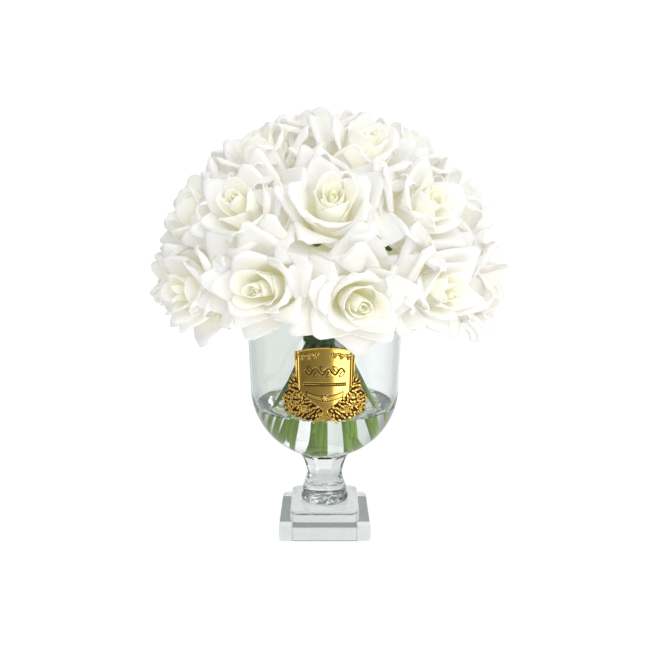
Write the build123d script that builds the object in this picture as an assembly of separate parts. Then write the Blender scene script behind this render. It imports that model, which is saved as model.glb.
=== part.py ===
"""A crystal urn on a square foot, holding a dome of artificial roses whose stems are set in clear resin.

The origin is the middle of the foot's underside, +Z is up and -Y is the front, where the badge is.
All sizes are in millimetres. Each function makes one piece, and the last section writes one STEP per node.
"""

from build123d import *
import os
from math import cos, radians, sin, sqrt

# ---------------------------------------------------------------- driving dimensions
# Square pressed-glass foot: a slab and a smaller tier.
SLAB_SIDE, SLAB_HEIGHT, SLAB_CORNER = 96.0, 15.3, 7.0
TIER_SIDE, TIER_HEIGHT, TIER_CORNER = 73.0, 12.5, 9.0
FOOT_EDGE = 1.6
FOOT_HEIGHT = SLAB_HEIGHT + TIER_HEIGHT

# Eight-sided cut pedestal between foot and bowl.
FACETS = 8
COLLAR_RADIUS, COLLAR_HEIGHT, COLLAR_EDGE = 25.5, 6.5, 2.2
WAIST_RADIUS, WAIST_Z = 18.3, 56.0
FACET_MIDDLE_RADIUS, FACET_MIDDLE_Z = 19.5, 66.0
FACET_TOP_RADIUS, FACET_TOP_Z = 22.9, 77.0
CORNER_ROUNDING = 1.3
GLUE_THICKNESS = 0.2

# Bowl: a nearly round bottom under a wall that widens a little towards the rim.
RIM_RADIUS, RIM_Z = 81.5, 240.0
EQUATOR_RADIUS, EQUATOR_Z = 78.6, 155.0
BOTTOM_DEPTH = 76.0
WALL, BOTTOM_GLASS = 3.4, 6.0
BOWL_SEAT_Z = 84.0

# Clear resin that stands in for water.
RESIN_LEVEL = 137.4

# Dome of roses: each rose's azimuth, counted from the front (-Y) towards +X, and its elevation, ring by ring.
DOME_CENTRE_Z = 264.0
FACE_DISTANCE = 173.0
HEAD_DEPTH, HEAD_RADIUS = 68.0, 37.0
PETAL_RIMS = [(1.0, 0.68), (0.78, 0.8), (0.52, 0.9)]
PETAL_GAP, PETAL_GAP_DEPTH = 1.6, 7.0
RINGS = [
    [(-88, 1), (-53, 1), (-19, 4), (9.5, 0), (38, 1.5), (74, -2), (113, 1), (153, 3), (192, 0), (232, 2)],
    [(-103, 32), (-66, 28), (-32.5, 31), (2.5, 31.5), (41, 30.5), (83, 30), (126, 32), (168, 31), (211, 31)],
    [(-50, 59.5), (25, 60), (95, 60), (162, 61), (235, 60)],
    [(-90, 89)],
]

# Stems, drawn together at a tie below the roses and splayed out again in the resin.
STEM_RADIUS, STEM_BEND = 2.1, 22.0
CALYX_LENGTH, CALYX_RADIUS = 11.0, 7.0
TIE_Z, TIE_HEIGHT, TIE_THICKNESS, TIE_RADIUS = 208.0, 7.0, 1.2, 21.5
STEM_TWIST = 24.0
KNEE_REACH = 52.0
RING_WAISTS = [16.0, 10.6, 5.7, 0.0]
# Where the cut ends of each ring's stems lie in the resin: radius and height, repeated round the ring.
RING_ENDS = [
    [(61.0, 124.0), (57.0, 118.0), (63.0, 128.0), (59.0, 121.0)],
    [(45.0, 111.0), (38.0, 106.0), (48.0, 115.0)],
    [(24.0, 103.0), (18.0, 108.0)],
    [(5.0, 105.0)],
]

# Gold badge on the front of the bowl, and the foam pad that holds it.
BADGE_GAP, BADGE_THICKNESS = 1.0, 0.9
BADGE_TOP_Z, BADGE_SHOULDER_Z, BADGE_HALF_WIDTH = 213.0, 208.0, 29.0
BADGE_WAIST_Z, BADGE_TIP_Z = 160.0, 139.0
# The cast flowers round its lower edge, on the right: across, up and radius. The left mirrors them.
BADGE_FLOWERS = [
    (31.0, 186.0, 4.2), (34.5, 178.0, 4.8), (33.0, 169.5, 5.2), (39.5, 163.0, 4.6), (32.0, 160.0, 5.4),
    (37.0, 154.0, 4.8), (28.0, 151.5, 5.6), (20.0, 147.5, 5.2), (12.0, 144.5, 4.6), (5.0, 142.0, 3.8),
]
BADGE_PETALS = 5


# ---------------------------------------------------------------- vase
def turned(*edges):
    """Turns a closed outline, drawn with x as radius and y as height, round the Z axis."""
    return revolve(Plane.XZ * make_face(edges), Axis.Z)


def rounded_tier(side, height, corner, base_z):
    """A square glass slab with round corners and a softened top edge."""
    tier = Pos(0, 0, base_z) * extrude(RectangleRounded(side, side, corner), height)
    return fillet(tier.edges().group_by(Axis.Z)[-1], FOOT_EDGE)


def square_foot():
    slab = rounded_tier(SLAB_SIDE, SLAB_HEIGHT, SLAB_CORNER, 0)
    return slab + rounded_tier(TIER_SIDE, TIER_HEIGHT, TIER_CORNER, SLAB_HEIGHT)


def bottom_radius(z):
    """The bowl's outer radius at height z in its round bottom."""
    return EQUATOR_RADIUS * sqrt(1 - ((EQUATOR_Z - z) / BOTTOM_DEPTH) ** 2)


def wall_radius(z, offset=0.0):
    """The radius of the bowl's tapered wall at height z, moved outwards by offset."""
    share = (z - EQUATOR_Z) / (RIM_Z - EQUATOR_Z)
    return EQUATOR_RADIUS + share * (RIM_RADIUS - EQUATOR_RADIUS) + offset


def facet_block(angle):
    """The space between two opposite cut flats: narrow at the waist, and turned by angle about Z."""
    wide = COLLAR_RADIUS + 2
    collar_z = FOOT_HEIGHT + COLLAR_HEIGHT
    edges = [
        Polyline((0, FOOT_HEIGHT), (wide, FOOT_HEIGHT), (wide, collar_z), (WAIST_RADIUS, WAIST_Z)),
        Spline(
            (WAIST_RADIUS, WAIST_Z),
            (FACET_MIDDLE_RADIUS, FACET_MIDDLE_Z),
            (FACET_TOP_RADIUS, FACET_TOP_Z),
            (wide, BOWL_SEAT_Z),
        ),
        Polyline((wide, BOWL_SEAT_Z), (0, BOWL_SEAT_Z), (0, FOOT_HEIGHT)),
    ]
    half = Plane.XZ * make_face([edge for curve in edges for edge in curve.edges()])
    block = extrude(half, wide + 2, both=True)
    return Rot(0, 0, angle) * (block + mirror(block, Plane.YZ))


def cut_pedestal():
    """The pedestal: a turned body between two collars, cut to eight flats that meet in a ridge at the waist."""
    base_z = FOOT_HEIGHT + GLUE_THICKNESS
    top_z = BOWL_SEAT_Z - GLUE_THICKNESS
    collar_z = FOOT_HEIGHT + COLLAR_HEIGHT
    seat_radius = bottom_radius(BOWL_SEAT_Z)
    flat_radius = COLLAR_RADIUS - COLLAR_EDGE
    body = turned(
        Line((0, base_z), (flat_radius, base_z)),
        ThreePointArc((flat_radius, base_z), (COLLAR_RADIUS, (base_z + collar_z) / 2), (flat_radius, collar_z)),
        Spline(
            (flat_radius, collar_z),
            (WAIST_RADIUS + 4.2, 45.0),
            (WAIST_RADIUS + CORNER_ROUNDING, WAIST_Z),
            (WAIST_RADIUS + 2.4, 66.0),
            (seat_radius - 3.0, 78.0),
            (seat_radius, top_z),
        ),
        Line((seat_radius, top_z), (0, top_z)),
        Line((0, top_z), (0, base_z)),
    )
    for k in range(FACETS // 2):
        body = body & facet_block(k * 360 / FACETS)
    return body


def between(low_z, high_z):
    """The half-plane strip between two heights, drawn with x as radius and y as height."""
    width = 2 * RIM_RADIUS
    return Pos(width / 2, (low_z + high_z) / 2) * Rectangle(width, high_z - low_z)


def vessel_section(inset, bottom_depth):
    """Half the bowl's solid outline, moved inwards by inset, with a round bottom of the depth given."""
    equator, rim = EQUATOR_RADIUS - inset, RIM_RADIUS - inset
    bottom = Pos(0, EQUATOR_Z) * Ellipse(equator, bottom_depth) & between(0, EQUATOR_Z)
    wall = make_face(Polyline((0, EQUATOR_Z), (equator, EQUATOR_Z), (rim, RIM_Z), (0, RIM_Z), close=True))
    return bottom + wall


def cavity_section():
    """Half the outline of the bowl's inside."""
    return vessel_section(WALL, EQUATOR_Z - BOWL_SEAT_Z - BOTTOM_GLASS)


def bowl():
    outside = vessel_section(0, BOTTOM_DEPTH) & between(BOWL_SEAT_Z, RIM_Z)
    rim_bead = Pos(RIM_RADIUS - WALL / 2, RIM_Z) * Circle(WALL / 2)
    return revolve(Plane.XZ * (outside - cavity_section() + rim_bead), Axis.Z)


def glue_disc(radius, base_z):
    """A clear bond between two pieces of glass."""
    return Pos(0, 0, base_z) * extrude(Circle(radius), GLUE_THICKNESS)


def resin_fill(stem_rods):
    """The resin that fills the bowl to its level, with a channel round each stem."""
    fill = revolve(Plane.XZ * (cavity_section() & between(BOWL_SEAT_Z, RESIN_LEVEL)), Axis.Z)
    return fill - stem_rods


# ---------------------------------------------------------------- roses
def petal_gaps(rim, petals, turn):
    """The narrow gaps between the petals of one tier, cut into its rim."""
    radius, height = rim
    gap = Pos(radius, 0, height) * Rot(0, 45, 0) * Box(PETAL_GAP_DEPTH, PETAL_GAP, 2 * PETAL_GAP_DEPTH)
    return [Rot(0, 0, turn + k * 360 / petals) * gap for k in range(petals)]


def rose_head():
    """An open rose along +Z from the top of its calyx at the origin: a bud that rises from three tiers of petals."""
    depth, radius = HEAD_DEPTH, HEAD_RADIUS
    outer, middle, inner = [(share * radius, rise * depth) for share, rise in PETAL_RIMS]
    bud_radius = 0.3 * radius
    head = turned(
        Line((0, 0), (CALYX_RADIUS - 0.5, 0)),
        Spline((CALYX_RADIUS - 0.5, 0), (0.84 * radius, 0.4 * depth), outer),
        Line(outer, (middle[0] + 1, outer[1] + 2)),
        Line((middle[0] + 1, outer[1] + 2), middle),
        Line(middle, (inner[0] + 1, middle[1] + 2)),
        Line((inner[0] + 1, middle[1] + 2), inner),
        Line(inner, (bud_radius + 1, inner[1] + 1)),
        Line((bud_radius + 1, inner[1] + 1), (bud_radius, 0.95 * depth)),
        Line((bud_radius, 0.95 * depth), (0.45 * bud_radius, depth)),
        Line((0.45 * bud_radius, depth), (0, depth)),
        Line((0, depth), (0, 0)),
    )
    return head - petal_gaps(outer, 6, 30) - petal_gaps(middle, 5, 20) - petal_gaps(inner, 4, 45)


def calyx_cup():
    """The green cup under a rose, with its hip, along +Z from the stem's end."""
    return turned(
        Line((0, 0), (STEM_RADIUS + 0.6, 0)),
        Spline((STEM_RADIUS + 0.6, 0), (5.0, 3.5), (4.6, 7.0), (CALYX_RADIUS, CALYX_LENGTH)),
        Line((CALYX_RADIUS, CALYX_LENGTH), (0, CALYX_LENGTH)),
        Line((0, CALYX_LENGTH), (0, 0)),
    )


def direction(azimuth, elevation):
    """The unit vector at an azimuth from the front towards +X, and an elevation."""
    a, e = radians(azimuth), radians(elevation)
    return Vector(sin(a) * cos(e), -cos(a) * cos(e), sin(e))


def around(radius, azimuth, z):
    """The point at a radius from the Z axis, an azimuth and a height."""
    return Vector(radius * sin(radians(azimuth)), -radius * cos(radians(azimuth)), z)


def place_along(origin, axis):
    """The location at origin whose +Z points along axis."""
    return Plane(origin=origin, z_dir=axis).location


def stem_route(ring, index, azimuth, elevation, stem_top):
    """A stem's centreline: from its cut end in the resin, through the tie, to its calyx."""
    centre, axis = Vector(0, 0, DOME_CENTRE_Z), direction(azimuth, elevation)
    end_radius, end_z = RING_ENDS[ring][index % len(RING_ENDS[ring])]
    if RING_WAISTS[ring] == 0:
        return Line((0, 0, end_z), centre + axis * stem_top)
    return FilletPolyline(
        around(end_radius, azimuth - 2 * STEM_TWIST, end_z),
        around(RING_WAISTS[ring], azimuth - STEM_TWIST, TIE_Z),
        centre + axis * KNEE_REACH,
        centre + axis * stem_top,
        radius=STEM_BEND,
    )


def stem_tie():
    """The band of floral tape that holds the stems together."""
    band = Circle(TIE_RADIUS + TIE_THICKNESS) - Circle(TIE_RADIUS)
    return Pos(0, 0, TIE_Z - TIE_HEIGHT / 2) * extrude(band, TIE_HEIGHT)


# ---------------------------------------------------------------- badge
def wall_layer(gap, thickness, low_z, high_z):
    """A conical layer that follows the outside of the bowl's wall."""
    corners = [
        (wall_radius(low_z, gap), low_z),
        (wall_radius(low_z, gap + thickness), low_z),
        (wall_radius(high_z, gap + thickness), high_z),
        (wall_radius(high_z, gap), high_z),
    ]
    return turned(*Polyline(*corners, close=True).edges())


def through_front(sketch):
    """Takes a sketch of across and up to the front of the bowl, as a block through its wall."""
    return extrude(Plane.XZ * sketch, RIM_RADIUS + 8)


def shield():
    """The badge's plate: straight sides, an arched top and a tapered foot."""
    w = BADGE_HALF_WIDTH
    half = make_face(
        [
            Spline((0, BADGE_TOP_Z), (0.5 * w, BADGE_TOP_Z - 1.2), (w, BADGE_SHOULDER_Z)),
            Line((w, BADGE_SHOULDER_Z), (w - 1, BADGE_WAIST_Z)),
            Spline((w - 1, BADGE_WAIST_Z), (0.55 * w, 149.0), (0, BADGE_TIP_Z)),
            Line((0, BADGE_TIP_Z), (0, BADGE_TOP_Z)),
        ]
    )
    return half + mirror(half, Plane.YZ)


def rosette(across, up, radius):
    """A five-petalled flower of the stamped border."""
    flower = Pos(across, up) * Circle(0.62 * radius)
    for k in range(BADGE_PETALS):
        turn = radians(90 + k * 360 / BADGE_PETALS)
        flower += Pos(across + 0.58 * radius * cos(turn), up + 0.58 * radius * sin(turn)) * Circle(0.42 * radius)
    return flower


def gold_badge():
    """The stamped badge: a shield and its border of flowers, curved to the wall."""
    outline = shield()
    for across, up, radius in BADGE_FLOWERS:
        outline += rosette(across, up, radius)
        outline += rosette(-across, up, radius)
    return through_front(outline) & wall_layer(BADGE_GAP, BADGE_THICKNESS, BADGE_TIP_Z - 4, BADGE_TOP_Z + 3)


def badge_pad():
    """The foam pad between badge and glass."""
    low_z, high_z = BADGE_WAIST_Z + 3, BADGE_SHOULDER_Z - 8
    outline = Pos(0, (low_z + high_z) / 2) * RectangleRounded(1.4 * BADGE_HALF_WIDTH, high_z - low_z, 4)
    return through_front(outline) & wall_layer(0.0, BADGE_GAP, low_z - 2, high_z + 2)


# ---------------------------------------------------------------- write the nodes
def write(name, shape):
    export_step(shape.solids()[0], f"parts/{name}.step")


os.makedirs("parts", exist_ok=True)
write("square_foot", square_foot())
write("foot_glue", glue_disc(COLLAR_RADIUS - COLLAR_EDGE, FOOT_HEIGHT))
write("cut_pedestal", cut_pedestal())
write("bowl_glue", glue_disc(bottom_radius(BOWL_SEAT_Z), BOWL_SEAT_Z - GLUE_THICKNESS))
write("bowl", bowl())
write("gold_badge", gold_badge())
write("badge_pad", badge_pad())
write("stem_tie", stem_tie())

head, calyx = rose_head(), calyx_cup()
dome_centre = Vector(0, 0, DOME_CENTRE_Z)
receptacle_distance = FACE_DISTANCE - HEAD_DEPTH
calyx_distance = receptacle_distance - CALYX_LENGTH
stem_rods = []
for ring, layout in enumerate(RINGS):
    for index, (azimuth, elevation) in enumerate(layout):
        axis = direction(azimuth, elevation)
        route = stem_route(ring, index, azimuth, elevation, calyx_distance)
        stem_rod = sweep(Plane(origin=route @ 0, z_dir=route % 0) * Circle(STEM_RADIUS), path=route)
        stem_rods.append(stem_rod)
        number = len(stem_rods)
        write(f"stem_{number:02d}", stem_rod + place_along(dome_centre + axis * calyx_distance, axis) * calyx)
        write(f"rose_{number:02d}", place_along(dome_centre + axis * receptacle_distance, axis) * head)
write("resin_water", resin_fill(stem_rods))
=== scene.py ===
"""The looks of a dome of white roses in a crystal urn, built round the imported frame.

Shapes are worked out in millimetres, in the row frame (+Z up, -Y the front), and made in metres.
"""

import math

import bpy
import numpy as np
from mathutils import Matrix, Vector


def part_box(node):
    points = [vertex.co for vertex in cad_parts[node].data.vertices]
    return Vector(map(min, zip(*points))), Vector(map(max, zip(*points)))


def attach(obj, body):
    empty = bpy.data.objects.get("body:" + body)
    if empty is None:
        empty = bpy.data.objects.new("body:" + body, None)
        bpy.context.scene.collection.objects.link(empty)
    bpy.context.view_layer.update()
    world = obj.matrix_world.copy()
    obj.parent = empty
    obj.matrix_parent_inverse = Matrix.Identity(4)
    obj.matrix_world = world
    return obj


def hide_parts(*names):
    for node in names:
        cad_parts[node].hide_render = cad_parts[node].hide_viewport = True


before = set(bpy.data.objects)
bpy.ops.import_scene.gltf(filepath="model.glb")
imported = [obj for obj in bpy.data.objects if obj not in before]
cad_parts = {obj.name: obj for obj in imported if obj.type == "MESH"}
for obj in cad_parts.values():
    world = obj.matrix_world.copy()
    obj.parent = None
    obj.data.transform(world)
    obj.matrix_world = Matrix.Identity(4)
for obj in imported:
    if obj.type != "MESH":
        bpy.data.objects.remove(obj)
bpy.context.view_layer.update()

MM = 0.001
SEED = 25
WHITE, BLACK = (1.0, 1.0, 1.0), (0.0, 0.0, 0.0)

# ---------------------------------------------------------------- camera
CAMERA_PLACE = (-2.3, -771.6, 356.3)
CAMERA_PITCH = 9.81
CAMERA_LENS = 41.5


def make_camera():
    """The camera, in front of the part and looking a little down on it."""
    data = bpy.data.cameras.new("camera")
    data.lens = CAMERA_LENS
    data.sensor_width = 36
    data.clip_start = 0.01
    camera = bpy.data.objects.new("camera", data)
    camera.location = Vector(CAMERA_PLACE) * MM
    camera.rotation_euler = (math.radians(90 - CAMERA_PITCH), 0, 0)
    bpy.context.collection.objects.link(camera)
    bpy.context.scene.camera = camera


# ---------------------------------------------------------------- material helpers
def new_material(name):
    """A material with only an output node, and its node tree."""
    material = bpy.data.materials.new(name)
    material.use_nodes = True
    tree = material.node_tree
    tree.nodes.clear()
    output = tree.nodes.new("ShaderNodeOutputMaterial")
    return material, tree, output


def add_node(tree, kind, **inputs):
    """A node of that kind. Inputs are named with _ for a space, and take a value or another node's socket."""
    node = tree.nodes.new(kind)
    for name, value in inputs.items():
        socket = node.inputs[name.replace("_", " ")]
        if isinstance(value, bpy.types.NodeSocket):
            tree.links.new(value, socket)
        else:
            socket.default_value = value
    return node


def ramp(tree, factor, stops, full=1.0):
    """A colour ramp over factor. Stops are (position, colour), with positions counted up to full."""
    node = tree.nodes.new("ShaderNodeValToRGB")
    tree.links.new(factor, node.inputs["Fac"])
    elements = node.color_ramp.elements
    while len(elements) < len(stops):
        elements.new(1.0)
    for element, (position, colour) in zip(elements, stops):
        element.position = position / full
        element.color = (*colour, 1)
    return node.outputs["Color"]


def mix_colour(tree, factor, first, second, blend="MIX"):
    """Blends two colours. Each may be a socket or a plain colour."""
    node = tree.nodes.new("ShaderNodeMix")
    node.data_type = "RGBA"
    node.blend_type = blend
    for socket, value in ((node.inputs[0], factor), (node.inputs[6], first), (node.inputs[7], second)):
        if isinstance(value, bpy.types.NodeSocket):
            tree.links.new(value, socket)
        else:
            socket.default_value = value if isinstance(value, float) else (*value, 1)
    return node.outputs[2]


def overlay(tree, under, over, factor, start, end, most=1.0):
    """Lays one colour over another where factor rises from start to end, up to the share given by most."""
    share = ramp(tree, factor, [(start, BLACK), (end, (most, most, most))])
    return mix_colour(tree, share, under, over)


def object_coordinates(tree, scale=(1, 1, 1)):
    """Object coordinates, in metres, stretched by scale."""
    coordinates = tree.nodes.new("ShaderNodeTexCoord")
    mapping = add_node(tree, "ShaderNodeMapping", Vector=coordinates.outputs["Object"], Scale=scale)
    return mapping.outputs["Vector"]


def attribute(tree, name):
    """A number kept on the mesh's points."""
    node = tree.nodes.new("ShaderNodeAttribute")
    node.attribute_name = name
    return node.outputs["Fac"]


def noise(tree, vector, scale, detail=3.0, roughness=0.5):
    """Noise from 0 to 1."""
    settings = dict(Scale=scale, Detail=detail, Roughness=roughness)
    return add_node(tree, "ShaderNodeTexNoise", Vector=vector, **settings).outputs["Fac"]


def bump(tree, height, strength, distance):
    """A normal from a height."""
    node = add_node(tree, "ShaderNodeBump", Height=height, Strength=strength, Distance=distance)
    return node.outputs["Normal"]


def calculate(tree, operation, *values):
    """A math node's result. Each value is a socket or a number."""
    node = tree.nodes.new("ShaderNodeMath")
    node.operation = operation
    for socket, value in zip(node.inputs, values):
        if isinstance(value, bpy.types.NodeSocket):
            tree.links.new(value, socket)
        else:
            socket.default_value = value
    return node.outputs["Value"]


def mix_shaders(tree, share, first, second):
    """Mixes two shaders by a share."""
    mix = add_node(tree, "ShaderNodeMixShader", Fac=share)
    tree.links.new(first, mix.inputs[1])
    tree.links.new(second, mix.inputs[2])
    return mix.outputs["Shader"]


def let_lamps_through(tree, shader, tint):
    """Mixes in a transparent shader for shadow rays, so that light reaches what is inside clear glass."""
    path = tree.nodes.new("ShaderNodeLightPath")
    clear = add_node(tree, "ShaderNodeBsdfTransparent", Color=(*tint, 1))
    return mix_shaders(tree, path.outputs["Is Shadow Ray"], shader, clear.outputs["BSDF"])


# ---------------------------------------------------------------- materials
# Stems are light green up to the first height and dark from the second.
STEM_LIGHT_Z, STEM_DARK_Z = 132.0, 165.0
# The foot's colour ramps run over FOOT_REACH from its middle and FOOT_RISE of height: painted reflections,
# as dark lines and a darker middle in its tint. The square boss under the slab ends at BOSS_HALF, and the
# slab's top meets the tier at SLAB_TOP.
FOOT_REACH, FOOT_RISE = 50.0, 20.0
BOSS_HALF, SLAB_TOP = 33.4, 15.3


def petal_material():
    """Soft white petals: fine ribs along each one, cream in its folds and yellow-green at its foot, and a
    faint painted glow that lifts their shade.
    """
    material, tree, output = new_material("petal_white")
    flat = tree.nodes.new("ShaderNodeUVMap")
    ribs = add_node(tree, "ShaderNodeMapping", Vector=flat.outputs["UV"], Scale=(34, 2.2, 1))
    rib_noise = noise(tree, ribs.outputs["Vector"], 1.0, 4.0, 0.6)
    cloud = noise(tree, object_coordinates(tree), 38.0, 3.0)
    foot, throat = (0.70, 0.72, 0.22), (0.93, 0.91, 0.60)
    blade, tip = (0.945, 0.93, 0.85), (0.935, 0.935, 0.915)
    along = ramp(tree, attribute(tree, "growth"), [(0.0, foot), (0.3, throat), (0.6, blade), (1.0, tip)])
    mottled = overlay(tree, along, (0.94, 0.91, 0.86), cloud, 0.4, 0.75, 0.3)
    ribbed = overlay(tree, mottled, (0.88, 0.865, 0.80), rib_noise, 0.45, 0.9, 0.3)
    coloured = mix_colour(tree, attribute(tree, "heart"), ribbed, (0.93, 0.90, 0.22))
    shader = add_node(
        tree,
        "ShaderNodeBsdfPrincipled",
        Base_Color=coloured,
        Roughness=0.55,
        Specular_IOR_Level=0.25,
        Subsurface_Weight=0.8,
        Subsurface_Radius=(1.0, 0.9, 0.7),
        Subsurface_Scale=0.006,
        # A faint painted glow: the petals give off light of their own, to lift their shade.
        Emission_Color=(1.0, 0.97, 0.88, 1),
        Emission_Strength=0.1,
        Sheen_Weight=0.12,
        Sheen_Roughness=0.5,
        Normal=bump(tree, rib_noise, 0.35, 0.0006),
    )
    tree.links.new(shader.outputs["BSDF"], output.inputs["Surface"])
    return material


def stem_material():
    """Moulded green stems, lighter low down where they stand in the resin, with streaks along them."""
    material, tree, output = new_material("stem_green")
    streaks = noise(tree, object_coordinates(tree, (260, 260, 22)), 1.0, 4.0)
    patches = noise(tree, object_coordinates(tree), 60.0, 3.0)
    position = add_node(tree, "ShaderNodeSeparateXYZ", Vector=object_coordinates(tree))
    height = calculate(tree, "MULTIPLY", position.outputs["Z"], 1 / MM)
    rise = add_node(tree, "ShaderNodeMapRange", Value=height, From_Min=STEM_LIGHT_Z, From_Max=STEM_DARK_Z)
    green = ramp(tree, rise.outputs["Result"], [(0.0, (0.27, 0.46, 0.045)), (1.0, (0.055, 0.13, 0.035))])
    streaked = overlay(tree, green, (0.27, 0.41, 0.06), streaks, 0.4, 0.7, 0.6)
    patched = overlay(tree, streaked, (0.16, 0.22, 0.06), patches, 0.5, 0.8, 0.4)
    shader = add_node(
        tree,
        "ShaderNodeBsdfPrincipled",
        Base_Color=patched,
        Roughness=0.42,
        Normal=bump(tree, streaks, 0.4, 0.0004),
    )
    tree.links.new(shader.outputs["BSDF"], output.inputs["Surface"])
    return material


def glass_material(name, tint, wave_scale, wave_strength):
    """Clear crystal with the faint waves of pressed and polished glass."""
    material, tree, output = new_material(name)
    waves = noise(tree, object_coordinates(tree), wave_scale, 2.0)
    glass = add_node(tree, "ShaderNodeBsdfGlass", Color=(*tint, 1), Roughness=0.0, IOR=1.52)
    tree.links.new(bump(tree, waves, wave_strength, 0.001), glass.inputs["Normal"])
    tree.links.new(let_lamps_through(tree, glass.outputs["BSDF"], tint), output.inputs["Surface"])
    return material


def pressed_material():
    """Thick pressed glass with upright streaks, and painted reflections in its tint: dark lines at the edge
    of the square boss under the slab, along the foot's bottom and at the slab's top, and a darker middle over
    the boss.
    """
    material, tree, output = new_material("pressed_glass")
    streaks = noise(tree, object_coordinates(tree, (150, 150, 14)), 1.0, 3.0, 0.6)
    rolls = noise(tree, object_coordinates(tree, (14, 14, 160)), 1.0, 2.0)
    position = add_node(tree, "ShaderNodeSeparateXYZ", Vector=object_coordinates(tree))
    sides = [calculate(tree, "ABSOLUTE", position.outputs[axis]) for axis in ("X", "Y")]
    nearest = calculate(tree, "MULTIPLY", calculate(tree, "MINIMUM", *sides), 1 / (FOOT_REACH * MM))
    height = calculate(tree, "MULTIPLY", position.outputs["Z"], 1 / (FOOT_RISE * MM))
    # Painted reflections: the tint is a little darker in the middle over the boss, with painted dark lines at
    # the boss's edge, along the foot's bottom and at the slab's top.
    middle, beside, margin = (0.965, 0.965, 0.965), (0.99, 0.995, 0.995), (0.98, 0.985, 0.985)
    line, painted_dark_line = (0.72, 0.74, 0.74), (0.42, 0.44, 0.44)
    edge = BOSS_HALF
    across = [(0, middle), (edge - 0.9, middle), (edge, line), (edge + 1.1, beside), (FOOT_REACH, margin)]
    up = [(0, middle), (0.2, middle), (0.3, painted_dark_line), (1.0, painted_dark_line), (1.3, middle)]
    up += [(SLAB_TOP - 0.7, middle), (SLAB_TOP, painted_dark_line), (SLAB_TOP + 0.7, middle)]
    level = ramp(tree, height, up, FOOT_RISE)
    within = ramp(tree, nearest, [(edge - 0.4, WHITE), (edge + 0.35, BLACK)], FOOT_REACH)
    levelled = mix_colour(tree, within, middle, level)
    lined = mix_colour(tree, 1.0, ramp(tree, nearest, across, FOOT_REACH), levelled, "MULTIPLY")
    streaked = ramp(tree, streaks, [(0.35, (0.955, 0.965, 0.965)), (0.65, WHITE)])
    tint = mix_colour(tree, 1.0, lined, streaked, "MULTIPLY")
    glass = add_node(tree, "ShaderNodeBsdfGlass", Color=tint, Roughness=0.0, IOR=1.52)
    tree.links.new(bump(tree, mix_colour(tree, 0.4, streaks, rolls), 0.6, 0.001), glass.inputs["Normal"])
    surface = let_lamps_through(tree, glass.outputs["BSDF"], (0.96, 0.97, 0.97))
    tree.links.new(surface, output.inputs["Surface"])
    return material


def glue_material():
    """The clear bond under the pedestal, full of small bubbles that sparkle, with painted dark spots in its
    tint that stand in for the dark reflections seen in it.
    """
    material, tree, output = new_material("clear_glue")
    bubbles_and_painted_shade = noise(tree, object_coordinates(tree), 260.0, 3.0, 0.7)
    # Painted reflections: dark spots in the tint stand in for the dark reflections seen in the bond. The same
    # noise also gives the bubbles' bumps.
    tint = ramp(tree, bubbles_and_painted_shade, [(0.44, (0.30, 0.32, 0.31)), (0.58, (0.92, 0.93, 0.92))])
    glass = add_node(tree, "ShaderNodeBsdfGlass", Color=tint, Roughness=0.02, IOR=1.45)
    tree.links.new(bump(tree, bubbles_and_painted_shade, 0.9, 0.001), glass.inputs["Normal"])
    tree.links.new(let_lamps_through(tree, glass.outputs["BSDF"], (0.9, 0.9, 0.9)), output.inputs["Surface"])
    return material


def bonded_material():
    """Where clear pieces are bonded there is no surface to see, so light goes straight on."""
    material, tree, output = new_material("bonded_clear")
    cloud = noise(tree, object_coordinates(tree), 90.0, 2.0)
    tint = ramp(tree, cloud, [(0.3, (0.995, 0.998, 0.996)), (0.7, (0.985, 0.99, 0.987))])
    clear = add_node(tree, "ShaderNodeBsdfTransparent", Color=tint)
    tree.links.new(clear.outputs["BSDF"], output.inputs["Surface"])
    return material


def gilt_material():
    """Gilt metal, bright where it is raised and rubbed, with dark brown patina in its recesses."""
    material, tree, output = new_material("gilt_brass")
    patina = attribute(tree, "patina")
    cloud = noise(tree, object_coordinates(tree), 140.0, 3.0)
    grain = noise(tree, object_coordinates(tree), 1500.0, 2.0)
    gold = ramp(tree, cloud, [(0.3, (0.90, 0.58, 0.12)), (0.7, (0.96, 0.66, 0.17))])
    stained = overlay(tree, gold, (0.07, 0.035, 0.012), patina, 0.1, 0.6)
    dulled = ramp(tree, patina, [(0.0, (0.16, 0.16, 0.16)), (1.0, (0.55, 0.55, 0.55))])
    shader = add_node(
        tree,
        "ShaderNodeBsdfPrincipled",
        Base_Color=stained,
        Metallic=1.0,
        Roughness=dulled,
        Normal=bump(tree, grain, 0.06, 0.0002),
    )
    tree.links.new(shader.outputs["BSDF"], output.inputs["Surface"])
    return material


def tape_material():
    """Waxed crepe tape: fine creases along the stems, and darker where it overlaps."""
    material, tree, output = new_material("floral_tape")
    creases = noise(tree, object_coordinates(tree, (900, 900, 60)), 1.0, 4.0)
    laps = noise(tree, object_coordinates(tree, (8, 8, 420)), 1.0, 2.0)
    green = ramp(tree, creases, [(0.3, (0.05, 0.11, 0.03)), (0.7, (0.12, 0.21, 0.07))])
    lapped = overlay(tree, green, (0.04, 0.08, 0.03), laps, 0.45, 0.6, 0.5)
    shader = add_node(
        tree,
        "ShaderNodeBsdfPrincipled",
        Base_Color=lapped,
        Roughness=0.8,
        Specular_IOR_Level=0.05,
        Normal=bump(tree, creases, 0.2, 0.0004),
    )
    tree.links.new(shader.outputs["BSDF"], output.inputs["Surface"])
    return material


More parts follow.
